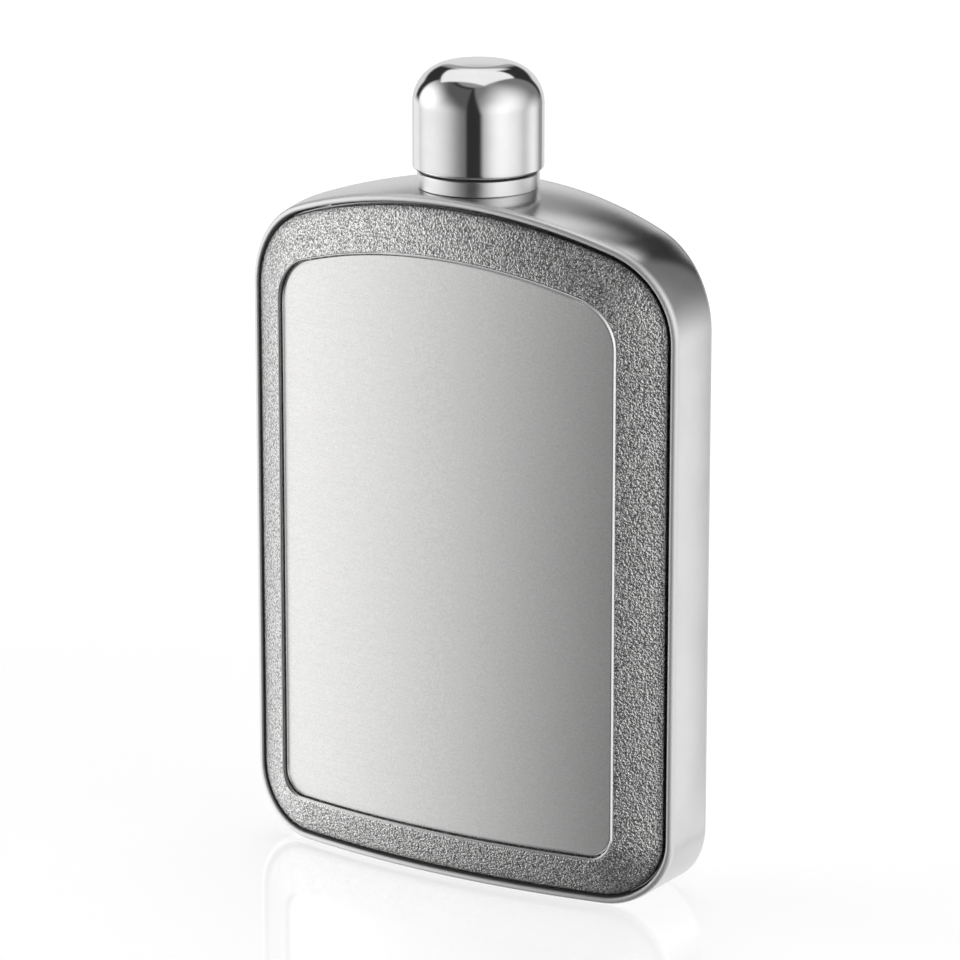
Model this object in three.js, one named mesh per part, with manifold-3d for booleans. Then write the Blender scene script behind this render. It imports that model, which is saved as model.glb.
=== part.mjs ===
// Hip flask with a screw cap. Millimetres, +Z up, the front faces -Y, and the origin is the middle of
// the base. A bent side band is closed by a curved wall at the front and at the rear. Each wall
// carries a cast plaque with a raised border, and each plaque holds a thin plate in its pocket.
// A threaded spout stands in the top of the band, inside a plain ring, and takes a domed cap.

import * as THREE from 'three';
import { ParametricGeometry } from 'three/addons/geometries/ParametricGeometry.js';
import { mergeVertices } from 'three/addons/utils/BufferGeometryUtils.js';
import Module from 'manifold-3d';

const wasm = await Module();
wasm.setup();

// Body outline, seen from the front.
const bodyWidth = 86.4;
const bodyHeight = 121.5;
const crownRadius = 96;
const topCornerRadius = 16.7;
const baseCornerRadius = 12.2;
const cornerShare = 0.87; // how much of an inset comes off a corner's radius
const crownShare = 0.09; // how much wider the plaque's border is along the crown

// Body seen from above: the rims at the front and the rear are arcs, deepest in the middle.
const centreDepth = 23.9;
const sideDepth = 12;

// Band, walls and the clearances between pieces.
const bandWall = 1.2;
const rimRound = 0.4;
const rimEase = 0.15; // chamfer on the band's inner edge
const wallSheet = 0.6;
const seatGap = 0.3;

// Plaque: levels are heights above the rim, and widths run inwards from the band.
const groove = 0.5;
const plaqueBack = -1.5;
const plaqueEdge = -0.3;
const plaqueSkin = 1.2; // thickness of the hollow-backed border
const plaqueFloor = 0.8;
const borderWidth = 6.8;
const borderRise = 3.15;
const borderSwell = 0.15; // its slope, from straight (0) to a quarter of a sine (1)
const borderSteps = 5;
const beadWidth = 0.6;
const beadHeight = 0.35;
const beadEase = 0.15;

// Plate in the plaque's pocket.
const plateRecess = 0.9;
const plateSheet = 0.6;
const plateGap = 0.3; // round its edge

// Neck.
const boreRadius = 6.2;
const spoutWall = 1.4;
const finishHeight = 10; // threaded length of the spout above the ring
const lipRound = 0.4;
const flangeWidth = 2.4;
const flangeSheet = 1;
const ringHeight = 2.9;
const ringSetback = 0.8; // how far the ring stands in from the side of the cap
const ringEase = 0.25;

// Thread: one start, right-handed, with a round section.
const threadPitch = 3;
const threadRadius = 0.8;
const insertThreadRadius = 0.75;
const threadClearance = 0.3;
const threadStart = 2.2; // above the ring
const threadHeadroom = 1.8; // from its last turn to the lip
const insertThreadTurns = 1.25;
const runOutTurns = 0.3;
const runOutSink = 0.7;

// Cap.
const capShoulder = 7;
const capSheet = 0.8;
const capLip = 0.5;
const capGap = 0.5; // between the ring and the cap
const insertWall = 1.5;
const insertRoof = 1.1;
const insertSetback = 0.6; // above the cap's lower edge
const insertIntoDome = 1.2; // how far it reaches above the foot of the shoulder
const insertChamfer = 0.8;
const gasketThickness = 1.2;
const gasketClearance = 0.5;

// Fineness of the curved faces.
const latheSteps = 48;
const cornerSteps = 7;
const roundSteps = 3; // small rounded edges
const crownSteps = 20;
const baseSteps = 14;
const planSteps = 32;
const threadSteps = 24; // in one turn
const threadSides = 8;
const overcut = 2; // how far a cutting body runs past what it cuts

// Derived sizes.
const halfWidth = bodyWidth / 2;
const planRise = (centreDepth - sideDepth) / 2;
const planRadius = (halfWidth ** 2 + planRise ** 2) / (2 * planRise);
const plaqueInset = bandWall + groove;
const beadInset = plaqueInset + borderWidth;
const windowInset = beadInset + beadWidth;
const beadCrest = plaqueEdge + borderRise + beadHeight;
const plateFace = beadCrest - plateRecess;
const pocketFloor = plateFace - plateSheet - seatGap;
const wallFace = plaqueBack - seatGap;
const spoutRadius = boreRadius + spoutWall;
const flangeRadius = spoutRadius + flangeWidth;
const insertBore = spoutRadius + threadRadius + threadClearance;
const insertRadius = insertBore + insertWall;
const capRadius = insertRadius + seatGap + capSheet;
const ringRadius = capRadius - ringSetback;
const ringTop = bodyHeight + ringHeight;
const capBottom = ringTop + capGap;
const spoutTop = ringTop + finishHeight;
const gasketBottom = spoutTop + seatGap;
const insertCeiling = gasketBottom + gasketThickness + seatGap;
const insertTop = insertCeiling + insertRoof;
const shoulderFoot = insertTop - insertIntoDome;
const capTop = shoulderFoot + capShoulder;
const threadTurns = (finishHeight - threadStart - threadHeadroom) / threadPitch;

// Shapes and booleans.

const arcSag = (radius, x) => radius - Math.sqrt(radius ** 2 - x ** 2);

// Depth coordinate of the front at a height above the rim. The rear is the front turned round.
const frontY = (x, level) => arcSag(planRadius, x) - centreDepth / 2 - level;

function arcPoints(x, y, radius, from, to, steps) {
  return Array.from({ length: steps + 1 }, (_, i) => {
    const angle = from + ((to - from) * i) / steps;
    return new THREE.Vector2(x + radius * Math.cos(angle), y + radius * Math.sin(angle));
  });
}

// Outline of the body, moved inwards by an inset, as (x, z) points. Every inset has as many points.
function outline(inset) {
  const half = halfWidth - inset;
  const topCorner = topCornerRadius - cornerShare * inset;
  const baseCorner = baseCornerRadius - cornerShare * inset;
  const crownInset = inset + crownShare * Math.max(0, inset - bandWall);
  const crownCentre = bodyHeight - crownInset - crownRadius;
  const topX = half - topCorner;
  const meet = Math.acos(topX / (crownRadius - topCorner));
  const topZ = crownCentre + (crownRadius - topCorner) * Math.sin(meet);
  const baseX = half - baseCorner;
  const baseZ = inset + baseCorner;
  const right = [
    ...arcPoints(baseX, baseZ, baseCorner, -Math.PI / 2, 0, cornerSteps),
    ...arcPoints(topX, topZ, topCorner, 0, meet, cornerSteps),
  ];
  const crown = arcPoints(0, crownCentre, crownRadius, meet, Math.PI - meet, crownSteps).slice(1, -1);
  const left = right.map((p) => new THREE.Vector2(-p.x, p.y)).reverse();
  const base = Array.from({ length: baseSteps - 1 }, (_, i) => {
    return new THREE.Vector2(baseX * ((2 * (i + 1)) / baseSteps - 1), inset);
  });
  return [...right, ...crown, ...left, ...base];
}

function toSolid(geometry) {
  geometry.deleteAttribute('normal');
  geometry.deleteAttribute('uv');
  const merged = mergeVertices(geometry);
  return new wasm.Manifold(new wasm.Mesh({
    numProp: 3,
    vertProperties: new Float32Array(merged.attributes.position.array),
    triVerts: new Uint32Array(merged.index.array),
  }));
}

function toGeometry(solid) {
  const mesh = solid.getMesh();
  const geometry = new THREE.BufferGeometry();
  geometry.setAttribute('position', new THREE.BufferAttribute(mesh.vertProperties, 3));
  geometry.setIndex(new THREE.BufferAttribute(mesh.triVerts, 1));
  geometry.computeVertexNormals();
  return geometry;
}

function turnedRound(solid) {
  return toSolid(toGeometry(solid).rotateZ(Math.PI));
}

// Closed ring: each section point is an inset and a depth function, swept round the outline.
function ringSolid(section) {
  const rings = section.map(({ inset, y }) => (
    outline(inset).map((p) => new THREE.Vector3(p.x, y(p.x), p.y))
  ));
  const around = rings[0].length;
  const across = rings.length;
  const place = (u, v, target) => (
    target.copy(rings[Math.round(v * across) % across][Math.round(u * around) % around])
  );
  return toSolid(new ParametricGeometry(place, around, across));
}

// Everything inside an outline, right through the body from front to rear.
function outlinePrism(inset) {
  const depth = centreDepth + 2 * (beadCrest + overcut);
  const geometry = new THREE.ExtrudeGeometry(new THREE.Shape(outline(inset)), {
    depth, bevelEnabled: false,
  });
  geometry.rotateX(Math.PI / 2);
  geometry.translate(0, depth / 2, 0);
  return toSolid(geometry);
}

// Curved sheet between two levels at the front, wider and taller than the body.
function frontSlab(backLevel, faceLevel) {
  const reach = halfWidth + overcut;
  const row = (level) => Array.from({ length: planSteps + 1 }, (_, i) => {
    const x = reach * ((2 * i) / planSteps - 1);
    return new THREE.Vector2(x, frontY(x, level));
  });
  const shape = new THREE.Shape([...row(faceLevel), ...row(backLevel).reverse()]);
  const geometry = new THREE.ExtrudeGeometry(shape, {
    depth: bodyHeight + 2 * overcut, bevelEnabled: false,
  });
  geometry.translate(0, 0, -overcut);
  return toSolid(geometry);
}

function sheetAt(inset, backLevel, faceLevel) {
  return outlinePrism(inset).intersect(frontSlab(backLevel, faceLevel));
}

// Turned piece from (radius, height) points, either closed on itself or ended on the axis.
function turned(points, steps = latheSteps) {
  const profile = points.map((p) => (p.isVector2 ? p : new THREE.Vector2(...p)));
  const closed = points[0].isVector2 || points[0][0] > 0 ? [...profile, profile[0]] : profile;
  return toSolid(new THREE.LatheGeometry(closed, steps).rotateX(Math.PI / 2));
}

function cylinder(radius, bottom, top) {
  return turned([[0, bottom], [radius, bottom], [radius, top], [0, top]]);
}

// Helical ridge whose two ends sink out of sight, towards the axis or away from it.
class ThreadCurve extends THREE.Curve {
  constructor(radius, start, turns, sink) {
    super();
    Object.assign(this, { radius, start, turns, sink });
  }

  getPoint(t, target = new THREE.Vector3()) {
    const turn = t * this.turns;
    const fromEnd = Math.min(turn, this.turns - turn) / runOutTurns;
    const radius = this.radius + this.sink * Math.max(0, 1 - fromEnd);
    const angle = 2 * Math.PI * turn;
    const height = this.start + threadPitch * turn;
    return target.set(radius * Math.cos(angle), radius * Math.sin(angle), height);
  }
}

function threadRidge(radius, section, start, turns, sink) {
  const circle = arcPoints(0, 0, section, 0, 2 * Math.PI, threadSides).slice(0, -1);
  const geometry = new THREE.ExtrudeGeometry(new THREE.Shape(circle), {
    steps: Math.round(threadSteps * turns),
    bevelEnabled: false,
    extrudePath: new ThreadCurve(radius, start, turns, sink),
  });
  return toSolid(geometry);
}

// Pieces of the body.

// One strip of sheet round the whole body, rounded along both outer rims.
function bodyBand() {
  const rim = [
    { inset: bandWall, level: -rimEase },
    { inset: bandWall - rimEase, level: 0 },
    ...arcPoints(rimRound, -rimRound, rimRound, Math.PI / 2, Math.PI, roundSteps)
      .map((p) => ({ inset: p.x, level: p.y })),
  ];
  const front = rim.map(({ inset, level }) => ({ inset, y: (x) => frontY(x, level) })).reverse();
  const rear = rim.map(({ inset, level }) => ({ inset, y: (x) => -frontY(x, level) }));
  const hole = cylinder(spoutRadius + seatGap, bodyHeight / 2, bodyHeight + overcut);
  return ringSolid([...front, ...rear]).subtract(hole);
}

function frontWall() {
  return sheetAt(bandWall + seatGap, wallFace - wallSheet, wallFace);
}

// Raised border with a bead along its inner edge, hollow at the back and standing on its outer
// edge, joined to a floor that carries the plate.
function frontPlaque() {
  const slope = Array.from({ length: borderSteps + 1 }, (_, i) => {
    const along = i / borderSteps;
    const swell = Math.sin((along * Math.PI) / 2) - along;
    const rise = borderRise * (along + borderSwell * swell);
    return { inset: plaqueInset + borderWidth * along, level: plaqueEdge + rise };
  });
  const hollow = slope.slice(1, -1).map(({ inset, level }) => ({ inset, level: level - plaqueSkin }));
  const floorBack = pocketFloor - plaqueFloor;
  const section = [
    { inset: plaqueInset, level: plaqueBack },
    ...slope,
    { inset: beadInset + beadEase, level: beadCrest },
    { inset: windowInset - beadEase, level: beadCrest },
    { inset: windowInset, level: beadCrest - beadEase },
    { inset: windowInset, level: floorBack },
    { inset: beadInset, level: floorBack },
    ...hollow.reverse(),
    { inset: plaqueInset + plaqueSkin, level: plaqueBack },
  ];
  const border = section.map(({ inset, level }) => ({ inset, y: (x) => frontY(x, level) }));
  const floor = sheetAt((beadInset + windowInset) / 2, floorBack, pocketFloor);
  return ringSolid(border).add(floor);
}

function frontPlate() {
  return sheetAt(windowInset + plateGap, plateFace - plateSheet, plateFace);
}

// Plain collar that stands on the arched top of the band.
function neckRing() {
  const bottom = bodyHeight - arcSag(crownRadius, ringRadius);
  const bore = spoutRadius + seatGap;
  const blank = turned([
    [bore, bottom], [ringRadius, bottom], [ringRadius, ringTop - ringEase],
    [ringRadius - ringEase, ringTop], [bore, ringTop],
  ]);
  return blank.subtract(outlinePrism(-seatGap));
}

// Threaded tube, held in the band by a flange under the sheet. The flange has two flats, because it
// stands between the walls.
function neckSpout() {
  const flangeTop = bodyHeight - bandWall - arcSag(crownRadius, flangeRadius) - seatGap;
  const flangeBottom = flangeTop - flangeSheet;
  const tube = turned([
    [0, flangeBottom], [flangeRadius, flangeBottom], [flangeRadius, flangeTop],
    [spoutRadius, flangeTop], [spoutRadius, spoutTop - lipRound],
    [spoutRadius - lipRound, spoutTop], [0, spoutTop],
  ]);
  const start = ringTop + threadStart;
  const ridge = threadRidge(spoutRadius, threadRadius, start, threadTurns, -runOutSink);
  const bore = cylinder(boreRadius, flangeBottom - overcut, spoutTop + overcut);
  const inner = wallFace - wallSheet - seatGap;
  const flat = outlinePrism(bandWall).intersect(frontSlab(inner, beadCrest));
  return tube.add(ridge).subtract(bore).subtract(flat).subtract(turnedRound(flat));
}

// Pieces of the cap.

function capShell() {
  const centre = capRadius - capShoulder;
  return turned([
    [0, capTop - capSheet],
    ...arcPoints(centre, shoulderFoot, capShoulder - capSheet, Math.PI / 2, 0, cornerSteps),
    [capRadius - capSheet, capBottom],
    ...arcPoints(capRadius - capLip, capBottom + capLip, capLip, -Math.PI / 2, 0, roundSteps),
    ...arcPoints(centre, shoulderFoot, capShoulder, 0, Math.PI / 2, cornerSteps),
    [0, capTop],
  ]);
}

// Threaded cup that is fixed in the shell and runs on the spout.
function capInsert() {
  const cup = turned([
    [0, insertCeiling], [insertBore, insertCeiling], [insertBore, capBottom + insertSetback],
    [insertRadius, capBottom + insertSetback], [insertRadius, insertTop - insertChamfer],
    [insertRadius - insertChamfer, insertTop], [0, insertTop],
  ]);
  const start = ringTop + threadStart + threadPitch / 2;
  const ridge = threadRidge(insertBore, insertThreadRadius, start, insertThreadTurns, runOutSink);
  return cup.add(ridge);
}

function capGasket() {
  return cylinder(insertBore - gasketClearance, gasketBottom, gasketBottom + gasketThickness);
}

// Assembly.

const satinSteel = { color: 0xc9cac9, roughness: 0.32, metalness: 1 };
const pressedSteel = { color: 0xb4b5b5, roughness: 0.45, metalness: 1 };
const castPewter = { color: 0x8f8f8d, roughness: 0.5, metalness: 1 };
const brushedPlate = { color: 0xbdb9b5, roughness: 0.38, metalness: 1 };
const polishedSteel = { color: 0xdcdcdc, roughness: 0.1, metalness: 1 };
const insertPlastic = { color: 0x8c9092, roughness: 0.55, metalness: 0 };
const sealRubber = { color: 0xe4e2dc, roughness: 0.7, metalness: 0 };

const flask = new THREE.Group();

function addPiece(name, geometry, look) {
  const mesh = new THREE.Mesh(geometry, new THREE.MeshStandardMaterial(look));
  mesh.name = name;
  flask.add(mesh);
  return mesh;
}

addPiece('body_band', toGeometry(bodyBand()), satinSteel);

// The rear carries the same three pieces as the front, turned half round.
const facePieces = [
  ['wall', toGeometry(frontWall()), pressedSteel],
  ['plaque', toGeometry(frontPlaque()), castPewter],
  ['plate', toGeometry(frontPlate()), brushedPlate],
];
for (const [kind, geometry, look] of facePieces) {
  addPiece(`front_${kind}`, geometry, look);
  addPiece(`rear_${kind}`, geometry, look).rotation.z = Math.PI;
}

addPiece('neck_ring', toGeometry(neckRing()), polishedSteel);
addPiece('neck_spout', toGeometry(neckSpout()), pressedSteel);
addPiece('cap_shell', toGeometry(capShell()), polishedSteel);
addPiece('cap_insert', toGeometry(capInsert()), insertPlastic);
addPiece('cap_gasket', toGeometry(capGasket()), sealRubber);

export default flask;
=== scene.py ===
"""Hip flask with a domed screw cap: its looks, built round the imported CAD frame.

Metres, +Z up along the spout, the front faces -Y, and the origin is the middle of the base.
"""

import math

import bmesh
import bpy
import numpy as np
from mathutils import Matrix, Vector, noise


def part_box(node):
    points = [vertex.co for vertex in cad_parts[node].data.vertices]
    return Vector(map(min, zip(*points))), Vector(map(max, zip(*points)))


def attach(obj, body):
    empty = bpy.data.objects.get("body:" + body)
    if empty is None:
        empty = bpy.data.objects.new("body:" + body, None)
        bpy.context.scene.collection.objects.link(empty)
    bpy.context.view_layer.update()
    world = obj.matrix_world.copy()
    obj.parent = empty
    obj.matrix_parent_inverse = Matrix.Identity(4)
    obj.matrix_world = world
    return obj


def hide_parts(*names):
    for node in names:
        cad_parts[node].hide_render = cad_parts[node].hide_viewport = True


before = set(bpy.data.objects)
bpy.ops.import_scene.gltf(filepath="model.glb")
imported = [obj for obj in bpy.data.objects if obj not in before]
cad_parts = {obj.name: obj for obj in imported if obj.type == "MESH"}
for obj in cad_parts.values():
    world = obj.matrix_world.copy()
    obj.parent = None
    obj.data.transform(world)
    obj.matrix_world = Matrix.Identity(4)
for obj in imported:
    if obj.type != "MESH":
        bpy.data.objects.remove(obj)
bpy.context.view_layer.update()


# ---------------------------------------------------------------- sizes

band_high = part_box("body_band")[1]
plaque_low, plaque_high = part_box("front_plaque")
plate_low, plate_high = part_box("front_plate")
ring_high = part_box("neck_ring")[1]
spout_low, spout_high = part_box("neck_spout")
cap_low, cap_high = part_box("cap_shell")
insert_low, insert_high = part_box("cap_insert")
gasket_low, gasket_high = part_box("cap_gasket")

HALF_WIDTH = band_high.x
HEIGHT = band_high.z
HALF_DEPTH = band_high.y
PLAQUE_INSET = HALF_WIDTH - plaque_high.x
BEAD_CREST = -plaque_low.y - HALF_DEPTH
PLATE_INSET = HALF_WIDTH - plate_high.x
PLATE_FACE = -plate_low.y - HALF_DEPTH

# Sizes that the frame's boxes don't give. They repeat the CAD part's.
CROWN_RADIUS = 0.096
TOP_CORNER = 0.0167
BASE_CORNER = 0.0122
CORNER_SHARE = 0.87
CROWN_SHARE = 0.09
SIDE_HALF_DEPTH = 0.006
BAND_WALL = 0.0012
PLAQUE_BACK = -0.0015
PLAQUE_EDGE = -0.0003
PLAQUE_SKIN = 0.0012
BORDER_WIDTH = 0.0068
BORDER_RISE = 0.00315
BORDER_SWELL = 0.15
BEAD_WIDTH = 0.0006
PLATE_SHEET = 0.0006
SEAT_GAP = 0.0003
PLAQUE_FLOOR = 0.0008
BORE_RADIUS = 0.0062
SPOUT_RADIUS = 0.0076
FLANGE_SHEET = 0.001
THREAD_PITCH = 0.003
THREAD_START = 0.0022
RIDGE_SINK = 0.0007
RUN_OUT_TURNS = 0.3
SPOUT_RIDGE = 0.0008
SPOUT_TURNS = 2.0
INSERT_RIDGE = 0.00075
INSERT_TURNS = 1.25
FLANGE_HALF_DEPTH = 0.0092
CAP_SHOULDER = 0.007
CAP_SHEET = 0.0008
INSERT_BORE = 0.0087
INSERT_ROOF = 0.0011
INSERT_CHAMFER = 0.0008

PLAN_RISE = HALF_DEPTH - SIDE_HALF_DEPTH
PLAN_RADIUS = (HALF_WIDTH**2 + PLAN_RISE**2) / (2 * PLAN_RISE)
BEAD_INSET = PLAQUE_INSET + BORDER_WIDTH
WINDOW_INSET = BEAD_INSET + BEAD_WIDTH
RING_TOP = ring_high.z

# Finer shape that only the looks have.
RIM_ROUND = 0.0007
RIM_EASE = 0.00045
CROWN_BULGE = 0.00075
SIDE_BULGE = 0.0002
STIPPLE_HEIGHT = 0.00005
STIPPLE_CELL = 0.00036
THREAD_ROW = 0.00012


# ---------------------------------------------------------------- shapes


def arc(centre, radius, start, end, steps):
    """Points of an arc, both ends included."""
    angle = np.linspace(start, end, steps + 1)
    x = centre[0] + radius * np.cos(angle)
    return np.stack([x, centre[1] + radius * np.sin(angle)], axis=1)


def smoothstep(value, low, high):
    """Eased share of the way from low to high."""
    t = np.clip((value - low) / (high - low), 0, 1)
    return t * t * (3 - 2 * t)


def corners(inset):
    """Half width, corner radii, crown centre, and where the corners start, at an inset."""
    half = HALF_WIDTH - inset
    top = TOP_CORNER - CORNER_SHARE * inset
    base = BASE_CORNER - CORNER_SHARE * inset
    crown_inset = inset + CROWN_SHARE * max(0, inset - BAND_WALL)
    crown_z = HEIGHT - crown_inset - CROWN_RADIUS
    meet = math.acos((half - top) / (CROWN_RADIUS - top))
    top_z = crown_z + (CROWN_RADIUS - top) * math.sin(meet)
    return half, top, base, crown_z, meet, top_z, inset + base


def outline(inset, spacing):
    """Outline of the body moved inwards, as (x, z) rows. Every inset has as many rows."""
    half, top, base, _, meet, top_z, base_z = corners(0)
    base_steps = round(base * math.pi / 2 / spacing)
    side_steps = round((top_z - base_z) / spacing)
    corner_steps = round(top * meet / spacing)
    crown_steps = round(CROWN_RADIUS * (math.pi / 2 - meet) / spacing)
    floor_steps = round((half - base) / spacing)

    half, top, base, crown_z, meet, top_z, base_z = corners(inset)
    floor = np.linspace([0, inset], [half - base, inset], floor_steps + 1)
    low = arc((half - base, base_z), base, -math.pi / 2, 0, base_steps)
    side = np.linspace([half, base_z], [half, top_z], side_steps + 1)
    high = arc((half - top, top_z), top, 0, meet, corner_steps)
    crown = arc((0, crown_z), CROWN_RADIUS, meet, math.pi / 2, crown_steps)
    right = np.concatenate([floor[:-1], low[:-1], side[:-1], high[:-1], crown])
    left = right[1:-1][::-1] * [-1, 1]
    return np.concatenate([right, left])


def outward(points):
    """Unit normals of a closed outline."""
    along = np.roll(points, -1, axis=0) - np.roll(points, 1, axis=0)
    normal = np.stack([along[:, 1], -along[:, 0]], axis=1)
    return normal / np.linalg.norm(normal, axis=1)[:, None]


def front_y(x, level):
    """Depth coordinate of the front at a height above the rim."""
    return PLAN_RADIUS - np.sqrt(PLAN_RADIUS**2 - x**2) - HALF_DEPTH - level


def at_front(points, level):
    """(x, z) rows lifted on to the front at a level."""
    return np.stack([points[:, 0], front_y(points[:, 0], level), points[:, 1]], axis=1)


def mesh_object(name, verts, faces, uvs, sharp):
    """New object from points, faces and their coordinates, sharp above an angle in degrees."""
    mesh = bpy.data.meshes.new(name)
    mesh.from_pydata(verts.tolist(), [], faces)
    layer = mesh.uv_layers.new(name="UVMap")
    layer.uv.foreach_set("vector", np.asarray(uvs, np.float32).ravel())
    shape = bmesh.new()
    shape.from_mesh(mesh)
    bmesh.ops.recalc_face_normals(shape, faces=shape.faces)
    shape.to_mesh(mesh)
    shape.free()
    mesh.shade_smooth()
    mesh.set_sharp_from_angle(angle=math.radians(sharp))
    piece = bpy.data.objects.new(name, mesh)
    bpy.context.scene.collection.objects.link(piece)
    return piece


def loft(name, rings, poles=False, sharp=35):
    """Closed mesh through rings of points: last ring to first again, or ended in two poles."""
    rings = np.asarray(rings, float)
    across, around = rings.shape[:2]
    verts = rings.reshape(-1, 3)
    index = np.arange(across * around).reshape(across, around)
    rows = across - 1 if poles else across
    low, high = index[:rows], np.roll(index, -1, axis=0)[:rows]
    quads = np.stack([low, np.roll(low, -1, axis=1), np.roll(high, -1, axis=1), high], axis=-1)
    faces = quads.reshape(-1, 4).tolist()
    v, u = np.mgrid[0:rows, 0:around].astype(float)
    corners_uv = [(u, v), (u + 1, v), (u + 1, v + 1), (u, v + 1)]
    uvs = np.stack([np.stack([a / around, b / rows], axis=-1) for a, b in corners_uv], axis=2)
    uvs = uvs.reshape(-1, 2)
    blocks = [uvs]
    if poles:
        for ring, v_end in ((index[0], 0.0), (index[-1], 1.0)):
            pole = len(verts)
            verts = np.concatenate([verts, verts[ring].mean(axis=0)[None]])
            for i in range(around):
                faces.append([int(ring[i]), int(ring[(i + 1) % around]), pole])
                shares = (i, i + 1, i + 0.5)
                blocks.append(np.array([[share / around, v_end] for share in shares]))
    uvs = np.concatenate(blocks)
    return mesh_object(name, verts, faces, uvs, sharp)


def add_values(piece, name, rows):
    """Stores one value for each point of a lofted piece, for its material."""
    layer = piece.data.attributes.new(name, "FLOAT", "POINT")
    layer.data.foreach_set("value", np.concatenate(rows).astype(np.float32))


def all_round(steps):
    """Angles of one turn."""
    return np.linspace(0, 2 * math.pi, steps, endpoint=False)


def circle(angle, radius, z):
    """Ring of points. Its radius and its height may change with the angle."""
    return np.stack([radius * np.cos(angle), radius * np.sin(angle), z + 0 * angle], axis=1)


def turn(name, profile, steps=160):
    """Turned piece from (radius, height) rows, closed flat at both ends."""
    angle = all_round(steps)
    return loft(name, [circle(angle, r, z) for r, z in profile], poles=True)


def join(first, second):
    """Makes one object of two, under the first one's name."""
    shape = bmesh.new()
    shape.from_mesh(first.data)
    shape.from_mesh(second.data)
    bpy.data.objects.remove(second)
    shape.to_mesh(first.data)
    shape.free()
    return first


def cut(piece, cutter):
    """Cuts one closed piece out of another and keeps the result as its mesh."""
    modifier = piece.modifiers.new("cut", "BOOLEAN")
    modifier.object = cutter
    modifier.operation = "DIFFERENCE"
    modifier.solver = "EXACT"
    graph = bpy.context.evaluated_depsgraph_get()
    mesh = bpy.data.meshes.new_from_object(piece.evaluated_get(graph))
    piece.modifiers.clear()
    piece.data = mesh
    bpy.data.objects.remove(cutter)
    return piece


def turned_round(piece, name):
    """Copy of a front piece for the rear."""
    copy = piece.copy()
    copy.data = piece.data.copy()
    copy.name = copy.data.name = name
    copy.data.transform(Matrix.Rotation(math.pi, 4, "Z"))
    bpy.context.scene.collection.objects.link(copy)
    return copy


# ---------------------------------------------------------------- materials


class Nodes:
    """A node tree, with short ways to add to it."""

    def __init__(self, tree):
        self.tree = tree
        tree.nodes.clear()

    def add(self, kind, inputs=None, **settings):
        node = self.tree.nodes.new(kind)
        for key, value in settings.items():
            setattr(node, key, value)
        for key, value in (inputs or {}).items():
            self.set(node.inputs[key], value)
        return node

    def set(self, socket, value):
        if isinstance(value, bpy.types.NodeSocket):
            self.tree.links.new(value, socket)
        else:
            socket.default_value = value

    def math(self, operation, *values):
        node = self.add("ShaderNodeMath", dict(enumerate(values)), operation=operation)
        return node.outputs[0]

    def remap(self, value, low, high, to_low=0.0, to_high=1.0):
        """Value eased from one range to another."""
        limits = {"From Min": low, "From Max": high, "To Min": to_low, "To Max": to_high}
        node = self.add(
            "ShaderNodeMapRange", {"Value": value, **limits}, interpolation_type="SMOOTHSTEP"
        )
        return node.outputs[0]

    def place(self, scale=(1, 1, 1)):
        """The piece's own coordinates, in metres, stretched by a scale."""
        start = self.add("ShaderNodeTexCoord").outputs["Object"]
        return self.add("ShaderNodeMapping", {"Vector": start, "Scale": scale}).outputs[0]

    def noise(self, vector, scale, detail=2.0, roughness=0.5):
        """Noise with about as many features in a metre as the scale says."""
        sizes = {"Vector": vector, "Scale": scale, "Detail": detail, "Roughness": roughness}
        return self.add("ShaderNodeTexNoise", sizes).outputs["Fac"]

    def value(self, name):
        """One of the values that the mesh stores."""
        return self.add("ShaderNodeAttribute", attribute_name=name).outputs["Fac"]

    def mix(self, factor, first, second):
        node = self.add("ShaderNodeMix", {0: factor}, data_type="RGBA")
        self.set(node.inputs[6], first)
        self.set(node.inputs[7], second)
        return node.outputs[2]

    def mix_value(self, factor, first, second):
        node = self.add("ShaderNodeMix", {0: factor}, data_type="FLOAT")
        self.set(node.inputs[2], first)
        self.set(node.inputs[3], second)
        return node.outputs[0]

    def bump(self, height, distance):
        """Normal of a height from 0 to 1, over a distance in metres."""
        inputs = {"Height": height, "Distance": distance, "Strength": 1.0}
        return self.add("ShaderNodeBump", inputs).outputs[0]


def material(name, metallic=0.0):
    """New material, its nodes and its shader."""
    made = bpy.data.materials.new(name)
    made.use_nodes = True
    nodes = Nodes(made.node_tree)
    shader = nodes.add("ShaderNodeBsdfPrincipled", {"Metallic": metallic})
    out = nodes.add("ShaderNodeOutputMaterial")
    nodes.tree.links.new(shader.outputs[0], out.inputs["Surface"])
    return made, nodes, shader


def grey(value, warmth=0.0):
    """Grey, or a warmer one."""
    return (value * (1 + warmth), value, value * (1 - warmth), 1)


def brush(nodes, shader, anisotropic):
    """Stretches the highlights across brush lines that run round the z axis."""
    tangent = nodes.add("ShaderNodeTangent", direction_type="RADIAL", axis="Z").outputs[0]
    nodes.set(shader.inputs["Tangent"], tangent)
    shader.inputs["Anisotropic"].default_value = anisotropic
    shader.inputs["Anisotropic Rotation"].default_value = 0.25


def satin_steel():
    """The band: a fine satin with a faint grain."""
    made, nodes, shader = material("satin_steel", 1.0)
    cloud = nodes.noise(nodes.place(), 90, 3)
    grain = nodes.noise(nodes.place(), 5200, 2)
    rim = nodes.value("rim")
    tone = nodes.mix(nodes.remap(cloud, 0.3, 0.7), grey(0.74), grey(0.80))
    nodes.set(shader.inputs["Base Color"], nodes.mix(rim, tone, grey(0.95)))
    rough = nodes.math("MULTIPLY_ADD", grain, 0.08, nodes.remap(cloud, 0.3, 0.7, 0.12, 0.15))
    nodes.set(shader.inputs["Roughness"], nodes.mix_value(rim, rough, 0.5))
    nodes.set(shader.inputs["Normal"], nodes.bump(grain, 0.000012))
    return made


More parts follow.
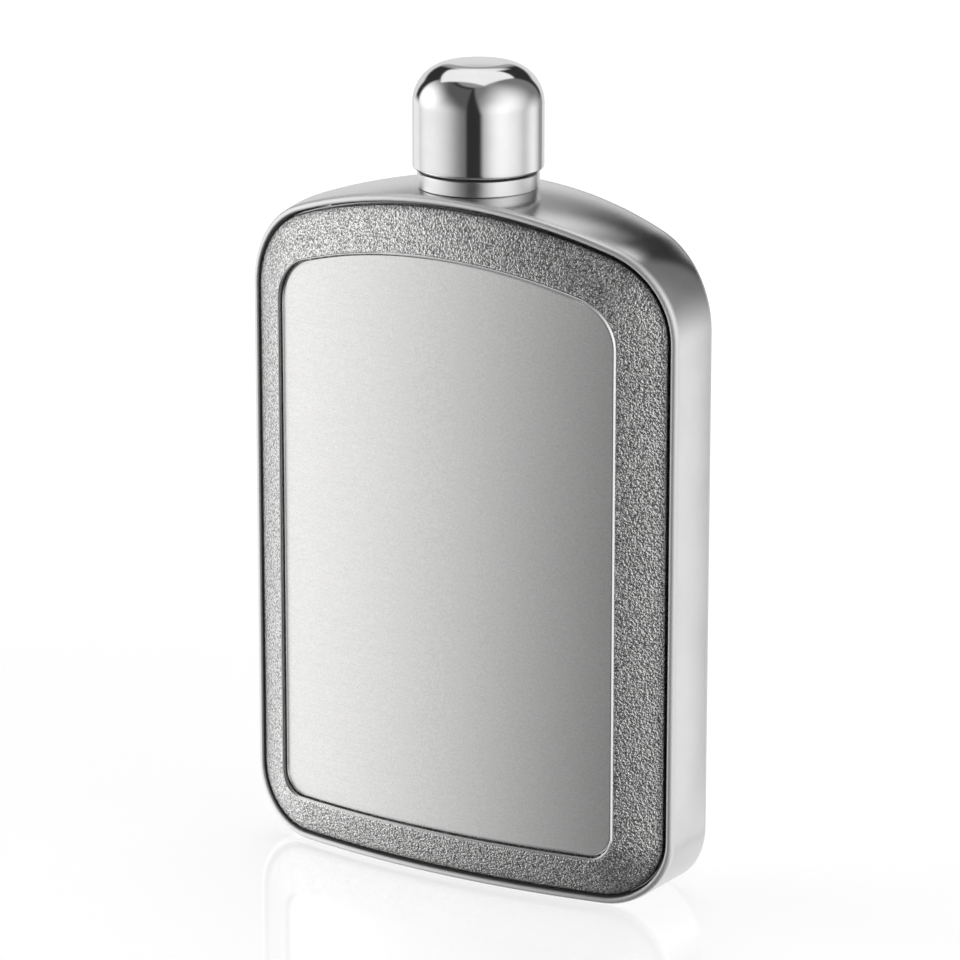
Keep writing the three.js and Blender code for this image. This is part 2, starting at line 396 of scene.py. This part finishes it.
def sheet_steel():
    """The spout and the walls inside: plain drawn sheet."""
    made, nodes, shader = material("sheet_steel", 1.0)
    lines = nodes.noise(nodes.place((1, 1, 30)), 260, 3)
    cloud = nodes.noise(nodes.place(), 160, 2)
    nodes.set(shader.inputs["Base Color"], nodes.mix(cloud, grey(0.56), grey(0.68)))
    nodes.set(shader.inputs["Roughness"], nodes.remap(lines, 0.25, 0.75, 0.24, 0.4))
    nodes.set(shader.inputs["Normal"], nodes.bump(lines, 0.00001))
    return made


def cast_pewter():
    """The stippled border: bright on its high points and dark in its hollows, with painted shade
    along the groove.
    """
    made, nodes, shader = material("cast_pewter", 1.0)
    relief, shade, polish = (nodes.value(name) for name in ("relief", "shade", "polish"))
    pebble = nodes.noise(nodes.place(), 2700, 1)
    fine = nodes.noise(nodes.place(), 5600, 1)
    grain = nodes.math("MULTIPLY_ADD", fine, 0.4, pebble)
    rough_share = nodes.math("SUBTRACT", 1.0, polish)
    height = nodes.math("MULTIPLY_ADD", relief, 0.25, grain)
    hollow, peak = 0.66, 0.92
    tone = nodes.mix(nodes.remap(height, hollow, peak), grey(0.34), grey(0.97, 0.006))
    tone = nodes.mix(polish, tone, grey(0.92))
    # Painted shade: near black along the groove, fading up the slope.
    dark = nodes.mix(shade, tone, grey(0.04))
    nodes.set(shader.inputs["Base Color"], dark)
    matt = nodes.remap(height, hollow, peak, 0.22, 0.12)
    nodes.set(shader.inputs["Roughness"], nodes.mix_value(polish, matt, 0.14))
    relief_height = nodes.math("MULTIPLY", grain, rough_share)
    nodes.set(shader.inputs["Normal"], nodes.bump(relief_height, 0.00019))
    return made


def brushed_plate():
    """The plate: fine brushing from side to side."""
    made, nodes, shader = material("brushed_plate", 1.0)
    long_lines = nodes.noise(nodes.place((1, 1, 60)), 60, 4, 0.65)
    short_lines = nodes.noise(nodes.place((1, 1, 22)), 420, 2)
    lines = nodes.math("MULTIPLY_ADD", short_lines, 0.6, nodes.math("MULTIPLY", long_lines, 0.4))
    cloud = nodes.noise(nodes.place((1, 1, 1.4)), 28, 2)
    grain = nodes.noise(nodes.place(), 3400, 2)
    streak = nodes.math("MULTIPLY_ADD", grain, 0.8, nodes.math("MULTIPLY", lines, 0.5))
    tone = nodes.mix(nodes.remap(streak, 0.45, 0.85), grey(0.81, 0.006), grey(0.95, 0.006))
    nodes.set(shader.inputs["Base Color"], tone)
    rough = nodes.math("MULTIPLY_ADD", cloud, 0.06, nodes.remap(lines, 0.3, 0.7, 0.25, 0.33))
    nodes.set(shader.inputs["Roughness"], rough)
    nodes.set(shader.inputs["Normal"], nodes.bump(lines, 0.000006))
    brush(nodes, shader, 0.8)
    return made


def polished_steel(name, roughness, anisotropic):
    """The cap and the ring: bright polish with faint turning lines and smudges."""
    made, nodes, shader = material(name, 1.0)
    lines = nodes.noise(nodes.place((1, 1, 14)), 500, 3)
    smudge = nodes.noise(nodes.place(), 220, 3, 0.6)
    tone = nodes.mix(nodes.remap(smudge, 0.3, 0.7), grey(0.86), grey(0.9))
    nodes.set(shader.inputs["Base Color"], tone)
    base = nodes.remap(smudge, 0.35, 0.75, roughness, roughness * 1.25)
    nodes.set(shader.inputs["Roughness"], nodes.math("MULTIPLY_ADD", lines, 0.03, base))
    nodes.set(shader.inputs["Normal"], nodes.bump(lines, 0.0000012))
    brush(nodes, shader, anisotropic)
    return made


def insert_plastic():
    """The threaded cup in the cap: moulded, slightly mottled."""
    made, nodes, shader = material("insert_plastic")
    mottle = nodes.noise(nodes.place(), 700, 3)
    nodes.set(shader.inputs["Base Color"], nodes.mix(mottle, grey(0.24), grey(0.3)))
    nodes.set(shader.inputs["Roughness"], nodes.remap(mottle, 0.3, 0.7, 0.42, 0.55))
    nodes.set(shader.inputs["Normal"], nodes.bump(mottle, 0.00001))
    return made


def seal_rubber():
    """The gasket: smooth pale rubber."""
    made, nodes, shader = material("seal_rubber")
    mottle = nodes.noise(nodes.place(), 900, 2)
    nodes.set(shader.inputs["Base Color"], nodes.mix(mottle, grey(0.66, 0.03), grey(0.74, 0.03)))
    nodes.set(shader.inputs["Roughness"], nodes.remap(mottle, 0.3, 0.7, 0.55, 0.7))
    nodes.set(shader.inputs["Normal"], nodes.bump(mottle, 0.000008))
    return made


# ---------------------------------------------------------------- pieces of the body


def body_band():
    """Side band, crowned a little across its depth, with rounded rims and the spout's hole."""
    spacing = 0.0009
    face = outline(0, spacing)
    normal = outward(face)
    # The crown bulges where the outline faces up, and the sides above the base corners.
    facing_aside, facing_up = 0.25, 0.95
    crown_share = smoothstep(normal[:, 1], facing_aside, facing_up)
    bulge_from, bulge_full = 0.3 * BASE_CORNER, 2.5 * BASE_CORNER
    side_share = smoothstep(face[:, 1], bulge_from, bulge_full)
    bulge = CROWN_BULGE * crown_share + SIDE_BULGE * side_share * (1 - crown_share)

    rings, rims = [], []

    def edge(sign, inset, level):
        points = outline(inset, spacing)
        row = at_front(points, level)
        row[:, 1] *= sign
        rings.append(row)
        rims.append(np.ones(len(row)))

    inner = arc((BAND_WALL - RIM_EASE, -RIM_EASE), RIM_EASE, 0, math.pi / 2, 5)
    outer = arc((RIM_ROUND, -RIM_ROUND), RIM_ROUND, math.pi / 2, math.pi, 6)
    rim = [*inner, *outer]
    for inset, level in rim:
        edge(1, inset, level)
    steps_across = 24
    for i in range(1, steps_across):
        t = i / steps_across
        points = face + normal * (bulge * (1 - (2 * t - 1) ** 2))[:, None]
        y = front_y(face[:, 0], -RIM_ROUND) * (1 - 2 * t)
        rings.append(np.stack([points[:, 0], y, points[:, 1]], axis=1))
        rims.append(np.zeros(len(face)))
    for inset, level in reversed(rim):
        edge(-1, inset, level)
    band = loft("body_band_shell", rings)
    add_values(band, "rim", rims)
    radius, low, high = SPOUT_RADIUS + SEAT_GAP, HEIGHT / 2, HEIGHT * 1.05
    return cut(band, turn("hole", [(radius, low), (radius, high)]))


def curved_sheet(name, inset, back, face):
    """Thin sheet that follows the front between two levels, with eased front edges."""
    spacing = 0.0007
    ease = 0.00012
    edge = outline(inset, spacing)
    middle = np.array([0, (edge[:, 1].max() + edge[:, 1].min()) / 2])

    def row(share, level, more=0.0):
        points = outline(inset + more, spacing)
        return at_front(middle + (points - middle) * share, level)

    # Rows by their share of the way from the middle: the back outwards, then the face inwards.
    back_rows = np.linspace(0.03, 1, 12)
    face_rows = np.linspace(0.99, 0.02, 44)
    rings = [row(share, back) for share in back_rows]
    rings += [row(1, face - ease), row(1, face - ease / 3, ease / 3), row(1, face, ease)]
    rings += [row(share, face) for share in face_rows]
    return loft(name, rings, poles=True)


def stipple(points, fade):
    """Height of the cast surface's grain at each point, in about -1 to 1 times the fade."""
    fine_size, fine_share, apart = 2.1, 0.6, Vector((7.0, 3.0, 1.0))
    height = np.zeros(len(points))
    if fade <= 0:
        return height
    for i, point in enumerate(points):
        place = Vector(point) / STIPPLE_CELL
        fine = noise.noise(place * fine_size + apart)
        height[i] = fade * (noise.noise(place) + fine_share * fine)
    return height


def front_plaque():
    """Cast border that rises to a bead, stippled, with a floor under the plate."""
    spacing = 0.00021
    width = BORDER_WIDTH
    bead_round = 0.25 * BEAD_WIDTH
    slope_steps = 34
    bead_steps = 8
    bead_height = BEAD_CREST - PLAQUE_EDGE - BORDER_RISE
    edge_round = 0.00015
    # Painted shade along the groove: a soft darkening up the slope, with a deep one in the groove
    # itself.
    soft_reach, soft_depth = 0.0013, 0.5
    deep_reach, deep_depth = 0.0003, 0.4
    floor_face = PLATE_FACE - PLATE_SHEET - SEAT_GAP

    section = [(PLAQUE_INSET, PLAQUE_BACK, 0), (PLAQUE_INSET, PLAQUE_EDGE - edge_round, 0)]
    for i in range(slope_steps + 1):
        along = edge_round / width + (1 - edge_round / width) * i / slope_steps
        swell = math.sin(along * math.pi / 2) - along
        level = PLAQUE_EDGE + BORDER_RISE * (along + BORDER_SWELL * swell)
        fade = smoothstep(along, 0.0, 0.06) * (1 - 0.35 * smoothstep(along, 0.8, 1.0))
        section.append((PLAQUE_INSET + width * along, level, fade))
    foot = PLAQUE_EDGE + BORDER_RISE
    for i in range(1, bead_steps + 1):
        along = i / bead_steps
        rise = bead_height * smoothstep(along, 0.45, 1.0)
        grainy = 1 - smoothstep(along, 0.1, 0.6)
        section.append((BEAD_INSET + BEAD_WIDTH * 0.75 * along, foot + rise, grainy))
    for inset, level in arc(
        (WINDOW_INSET - bead_round, BEAD_CREST - bead_round), bead_round, math.pi / 2, 0, 4
    ):
        section.append((inset, level, 0))
    # The back follows the slope, one skin behind it.
    halfway_level = PLAQUE_EDGE + 0.53 * BORDER_RISE
    section.append((WINDOW_INSET, floor_face - PLAQUE_FLOOR, 0))
    section.append((BEAD_INSET, floor_face - PLAQUE_FLOOR, 0))
    section.append((PLAQUE_INSET + 0.5 * width, halfway_level - PLAQUE_SKIN, 0))
    section.append((PLAQUE_INSET + PLAQUE_SKIN, PLAQUE_BACK, 0))

    rings, grain, shades, polishes = [], [], [], []
    for inset, level, fade in section:
        points = outline(inset, spacing)
        row = at_front(points, level)
        height = stipple(row, fade)
        row[:, 1] -= STIPPLE_HEIGHT * height
        rings.append(row)
        grain.append(0.5 + 0.5 * height)
        from_edge = inset - PLAQUE_INSET
        # Painted shade, darkest at the groove, stored on the mesh for the material.
        soft_shade = 1 - float(smoothstep(from_edge, 0, soft_reach))
        deep_shade = 1 - float(smoothstep(from_edge, 0, deep_reach))
        shades.append(np.full(len(row), soft_depth * soft_shade + deep_depth * deep_shade))
        burnished = smoothstep(from_edge, width + bead_round, width + 0.6 * BEAD_WIDTH)
        polishes.append(np.full(len(row), float(burnished) * float(level > floor_face)))
    plaque = loft("front_border", rings)
    add_values(plaque, "relief", grain)
    add_values(plaque, "shade", shades)
    add_values(plaque, "polish", polishes)
    floor_inset = (BEAD_INSET + WINDOW_INSET) / 2
    return join(plaque, curved_sheet("floor", floor_inset, floor_face - PLAQUE_FLOOR, floor_face))


def front_plate():
    """Thin plate, brushed from side to side."""
    return curved_sheet("front_plate_sheet", PLATE_INSET, PLATE_FACE - PLATE_SHEET, PLATE_FACE)


def neck_ring():
    """Plain collar that stands on the crown of the band."""
    angle = all_round(240)
    outer, ease, clear = ring_high.x, 0.00025, 0.00002
    bore = SPOUT_RADIUS + SEAT_GAP

    def foot(radius):
        """Height of the crown round a circle, with its bulge."""
        x = radius * np.cos(angle)
        y = radius * np.sin(angle)
        sag = CROWN_RADIUS - np.sqrt(CROWN_RADIUS**2 - x**2)
        return HEIGHT - sag + CROWN_BULGE * (1 - (y / HALF_DEPTH) ** 2) + clear

    def row(radius, z):
        return circle(angle, radius, z)

    low = foot(outer) + ease / 2
    rings = [row(bore, foot(bore)), row(outer - ease / 2, foot(outer)), row(outer, low)]
    for share in np.linspace(0.1, 1, 8):
        rings.append(row(outer, low + (RING_TOP - ease - low) * share))
    for turn_angle in np.linspace(0.3, math.pi / 2, 4):
        radius = outer - ease + ease * math.cos(turn_angle)
        rings.append(row(radius, RING_TOP - ease + ease * math.sin(turn_angle)))
    rings += [row(bore + ease, RING_TOP), row(bore, RING_TOP - ease)]
    return loft("neck_collar", rings)


def thread_height(angle, z, start, turns, section):
    """Radial height of a helical ridge above its root, at each angle. Its ends run out."""
    best = np.zeros(len(angle))
    for k in range(-1, math.ceil(turns) + 1):
        turn_number = angle / (2 * math.pi) + k
        inside = (turn_number >= 0) & (turn_number <= turns)
        ends = np.minimum(turn_number, turns - turn_number) / RUN_OUT_TURNS
        centre = start + THREAD_PITCH * turn_number
        drop = RIDGE_SINK * np.clip(1 - ends, 0, 1)
        rise = np.sqrt(np.clip(section**2 - (z - centre) ** 2, 0, None)) - drop
        best = np.maximum(best, np.where(inside, rise, 0))
    return best


def neck_spout():
    """Threaded tube with a rolled lip and a flange inside the band."""
    angle = all_round(180)
    top = spout_high.z
    bottom = spout_low.z
    lip = 0.0006

    def row(radius, z):
        return circle(angle, radius, z)

    # The flange is round, with two flats where the walls are.
    flat = np.minimum(spout_high.x, FLANGE_HALF_DEPTH / np.maximum(np.abs(np.sin(angle)), 1e-6))
    rings = [row(BORE_RADIUS, bottom), row(flat, bottom), row(flat, bottom + FLANGE_SHEET)]
    rings.append(row(SPOUT_RADIUS, bottom + FLANGE_SHEET))
    start = RING_TOP + THREAD_START
    for z in np.arange(RING_TOP - 0.002, top - lip, THREAD_ROW):
        rise = thread_height(angle, z, start, SPOUT_TURNS, SPOUT_RIDGE)
        rings.append(row(SPOUT_RADIUS + rise, z))
    half = (SPOUT_RADIUS - BORE_RADIUS) / 2
    middle = (SPOUT_RADIUS + BORE_RADIUS) / 2
    for turn_angle in np.linspace(0, math.pi, 10):
        z = top - half + half * math.sin(turn_angle)
        rings.append(row(middle + half * math.cos(turn_angle), z))
    return loft("spout_tube", rings, sharp=50)


# ---------------------------------------------------------------- pieces of the cap


def cap_shell():
    """Domed shell with a rolled lower lip."""
    radius, bottom, top = cap_high.x, cap_low.z, cap_high.z
    foot = top - CAP_SHOULDER
    flat = radius - CAP_SHOULDER
    lip, inner_lip = 0.0005, 0.0002
    inner = radius - CAP_SHEET
    crown = 0.0001
    quarter = math.pi / 2
    profile = [*arc((flat, foot), CAP_SHOULDER - CAP_SHEET, quarter, 0, 16)]
    profile += [(inner, bottom + lip)]
    turned_in = (inner + inner_lip, bottom + inner_lip)
    profile += [*arc(turned_in, inner_lip, math.pi, 1.5 * math.pi, 4)]
    profile += [*arc((radius - lip, bottom + lip), lip, -quarter, 0, 8)]
    profile += [(radius, z) for z in np.linspace(bottom + lip, foot, 24)[1:-1]]
    profile += [*arc((flat, foot), CAP_SHOULDER, 0, quarter, 40)]
    for share in np.linspace(0.9, 0.06, 12):
        profile.append((flat * share, top + crown * (1 - share**2)))
    return turn("cap_dome", profile, 240)


def cap_insert():
    """Threaded cup inside the shell."""
    angle = all_round(180)
    bottom, top, outer = insert_low.z, insert_high.z, insert_high.x
    ceiling = top - INSERT_ROOF
    ease = 0.0003
    near_axis = (0.0004, 0.004)

    def row(radius, z):
        return circle(angle, radius, z)

    rings = [row(r, ceiling) for r in (*near_axis, INSERT_BORE - ease)]
    start = RING_TOP + THREAD_START + THREAD_PITCH / 2
    for z in np.arange(ceiling - ease, bottom + ease, -THREAD_ROW):
        rise = thread_height(angle, z, start, INSERT_TURNS, INSERT_RIDGE)
        rings.append(row(INSERT_BORE - rise, z))
    rings += [row(INSERT_BORE + ease, bottom), row(outer - ease, bottom), row(outer, bottom + ease)]
    rings += [row(outer, top - INSERT_CHAMFER), row(outer - INSERT_CHAMFER, top)]
    rings += [row(r, top) for r in reversed(near_axis)]
    return loft("threaded_insert", rings, poles=True, sharp=50)


def cap_gasket():
    """Disc seal with rounded edges and a shallow groove where the lip presses."""
    radius, bottom, top = gasket_high.x, gasket_low.z, gasket_high.z
    ease = 0.0003
    press = (BORE_RADIUS + SPOUT_RADIUS) / 2
    press_width, press_depth = 0.0005, 0.00012
    near_axis = 0.001
    profile = []
    for r in np.linspace(near_axis, radius - ease, 40):
        dent = press_depth * math.exp(-(((r - press) / press_width) ** 2))
        profile.append((r, bottom + dent))
    profile += [*arc((radius - ease, bottom + ease), ease, -math.pi / 2, 0, 5)[1:]]
    profile += [*arc((radius - ease, top - ease), ease, 0, math.pi / 2, 5)]
    profile.append((near_axis, top))
    return turn("seal_disc", profile, 120)


# ---------------------------------------------------------------- assembly


def fit(piece, look, body, slot, *nodes):
    """Gives a piece its look and its body, and hides the CAD nodes it stands for. The slot is not
    used.
    """
    piece.data.materials.clear()
    piece.data.materials.append(look)
    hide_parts(*nodes)
    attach(piece, body)


satin = satin_steel()
sheet = sheet_steel()
pewter = cast_pewter()
brushed = brushed_plate()

fit(body_band(), satin, "flask", "satin_steel", "body_band")

front_border, front_sheet = front_plaque(), front_plate()
rear_border = turned_round(front_border, "rear_border")
rear_sheet = turned_round(front_sheet, "rear_plate_sheet")
fit(front_border, pewter, "flask", "cast_pewter", "front_plaque")
fit(front_sheet, brushed, "flask", "brushed_plate", "front_plate")
fit(rear_border, pewter, "flask", "cast_pewter", "rear_plaque")
fit(rear_sheet, brushed, "flask", "brushed_plate", "rear_plate")

fit(neck_ring(), polished_steel("ring_polish", 0.27, 0.6), "flask", "polished_steel", "neck_ring")
fit(neck_spout(), sheet, "flask", "sheet_steel", "neck_spout")
fit(cap_shell(), polished_steel("cap_polish", 0.07, 0.0), "cap", "polished_steel", "cap_shell")
fit(cap_insert(), insert_plastic(), "cap", "insert_plastic", "cap_insert")
fit(cap_gasket(), seal_rubber(), "cap_seal", "seal_rubber", "cap_gasket")

for name in ("front_wall", "rear_wall"):
    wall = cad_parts[name]
    wall.data.materials.clear()
    wall.data.materials.append(sheet)


# ---------------------------------------------------------------- studio


def studio_floor():
    """Glossy white table. Metal sees the studio's own light below the horizon instead of it."""
    mesh = bpy.data.meshes.new("studio_floor")
    reach = 4.0
    around = [(-reach, -reach, 0), (reach, -reach, 0), (reach, reach, 0), (-reach, reach, 0)]
    mesh.from_pydata(around, [], [(0, 1, 2, 3)])
    floor = bpy.data.objects.new("studio_floor", mesh)
    bpy.context.scene.collection.objects.link(floor)
    made, _, shader = material("white_acrylic")
    shader.inputs["Base Color"].default_value = grey(0.86)
    shader.inputs["Roughness"].default_value = 0.06
    shader.inputs["Emission Color"].default_value = grey(1.0)
    shader.inputs["Emission Strength"].default_value = 0.59
    mesh.materials.append(made)
    floor.visible_glossy = False
    floor.visible_shadow = False


class Sky:
    """Light of the studio, by azimuth from the front towards the right, and by elevation."""

    unlit = 0.03

    def __init__(self, nodes):
        self.nodes = nodes
        direction = nodes.add("ShaderNodeTexCoord").outputs["Generated"]
        split = nodes.add("ShaderNodeSeparateXYZ", {0: direction})
        self.x, self.y, self.z = split.outputs
        self.azimuth = nodes.math("ARCTAN2", self.x, nodes.math("MULTIPLY", self.y, -1.0))
        self.elevation = nodes.math("ARCSINE", self.z)

    def aside(self, azimuth, lean=0.0):
        """Angle from an azimuth, either way. The azimuth may lean with the elevation."""
        place = self.nodes.math("MULTIPLY_ADD", self.elevation, lean, self.azimuth)
        off = self.nodes.math("SUBTRACT", place, math.radians(azimuth))
        return self.nodes.math("ABSOLUTE", self.nodes.math("WRAP", off, math.pi, -math.pi))

    def panel(self, azimuth, half, low, high, soft=4, top_soft=None, lean=0.0):
        """Share of a direction inside a panel between two elevations, in degrees."""
        nodes = self.nodes
        edge = math.radians(soft)
        top = math.radians(top_soft or soft)
        half, low, high = (math.radians(v) for v in (half, low, high))
        sides = nodes.remap(self.aside(azimuth, lean), half + edge, half - edge)
        foot = nodes.remap(self.elevation, low - edge, low + edge)
        head = nodes.remap(self.elevation, high + top, high - top)
        return nodes.math("MULTIPLY", sides, nodes.math("MULTIPLY", foot, head))

    def glow(self, azimuth, elevation, wide, tall):
        """Soft oval: one in its middle and nothing at its rim."""
        nodes = self.nodes
        across = nodes.math("DIVIDE", self.aside(azimuth), math.radians(wide))
        up = nodes.math("SUBTRACT", self.elevation, math.radians(elevation))
        up = nodes.math("DIVIDE", up, math.radians(tall))
        across_squared = nodes.math("MULTIPLY", across, across)
        squares = nodes.math("ADD", across_squared, nodes.math("MULTIPLY", up, up))
        return nodes.remap(nodes.math("SQRT", squares), 1.0, 0.0)

    def overhead(self, left, right, front, back, soft):
        """Rectangle on a ceiling one unit up."""
        nodes = self.nodes
        height = nodes.math("MAXIMUM", self.z, 0.02)
        x = nodes.math("DIVIDE", self.x, height)
        y = nodes.math("DIVIDE", self.y, height)
        edges = [
            nodes.remap(x, left - soft, left + soft),
            nodes.remap(x, right + soft, right - soft),
            nodes.remap(y, front - soft, front + soft),
            nodes.remap(y, back + soft, back - soft),
        ]
        share = edges[0]
        for edge in edges[1:]:
            share = nodes.math("MULTIPLY", share, edge)
        return share

    def strength(self, base, *glows):
        """Strength of a panel: an even part and (glow, strength) pairs."""
        total = base
        for glow, most in glows:
            total = self.nodes.math("MULTIPLY_ADD", glow, most, total)
        return total

    def brightest(self, *lights):
        """Brightest of the (share, strength) pairs in each direction."""
        result = self.unlit
        for share, strength in lights:
            lit = self.nodes.math("MULTIPLY", share, strength)
            result = self.nodes.math("MAXIMUM", result, lit)
        return result


def studio_light():
    """Soft panels round the flask, and what its metal sees of the table. The camera sees white."""
    world = bpy.data.worlds.new("studio")
    bpy.context.scene.world = world
    world.use_nodes = True
    nodes = Nodes(world.node_tree)
    sky = Sky(nodes)
    # The table: brightest at the left, and lit again at the back.
    table = sky.strength(
        0.08,
        (sky.glow(-80, -30, 84, 32), 1.45),
        (sky.panel(165, 70, -100, -8, soft=10), 0.75),
    )
    # The panel at the front left: brightest at its left end, then low in front and high up.
    left = sky.strength(
        0.10,
        (sky.glow(-66, 0, 72, 50), 1.0),
        (sky.glow(-20, -12, 44, 36), 0.26),
        (sky.glow(-74, 22, 50, 36), 0.62),
    )
    # The panel at the right: brightest in its middle, with two smaller glows low in it.
    right = sky.strength(
        0.20,
        (sky.glow(88, 8, 66, 75), 0.9),
        (sky.glow(60, -8, 36, 40), 0.3),
        (sky.glow(145, -18, 30, 34), 0.78),
    )
    everywhere = 200
    light = sky.brightest(
        (sky.panel(0, everywhere, -100, -22, soft=6), table),
        (sky.panel(-41, 54, -24, 61, lean=-0.05), left),
        (sky.panel(103, 68, -34, 80, soft=5, top_soft=12, lean=0.22), right),
        # Three cards one above the other at the rear left.
        (sky.panel(-146, 36, -24, 17), 0.74),
        (sky.panel(-147, 10, 15, 34), 0.36),
        (sky.panel(-149, 13, 33, 62), 0.9),
        # Low cards at the left and behind.
        (sky.panel(-106, 16, -24, -2, soft=5), 0.9),
        (sky.panel(170, 14, -24, 0, soft=5), 0.3),
        # A panel overhead, and a faint fill beyond it.
        (sky.overhead(-1.0, 0.3, -0.2, 0.9, 0.06), 0.95),
        (sky.panel(60, 120, 66, 100), 0.3),
    )
    camera_ray = nodes.add("ShaderNodeLightPath").outputs["Is Camera Ray"]
    strength = nodes.math("MAXIMUM", light, camera_ray)
    shade = nodes.add("ShaderNodeBackground", {"Color": grey(1.0), "Strength": strength})
    out = nodes.add("ShaderNodeOutputWorld")
    nodes.tree.links.new(shade.outputs[0], out.inputs["Surface"])


def camera():
    """Long lens at the front right, a little above."""
    lens = bpy.data.cameras.new("camera")
    lens.sensor_width = 36
    lens.lens = 187.5
    view = bpy.data.objects.new("camera", lens)
    view.location = (0.45246, -0.70524, 0.30055)
    yaw, pitch = 0.5701, 0.2692
    view.rotation_euler = (math.pi / 2 - pitch, 0, yaw)
    bpy.context.scene.collection.objects.link(view)
    bpy.context.scene.camera = view


studio_floor()
studio_light()
camera()
bpy.context.scene.view_settings.view_transform = "Standard"
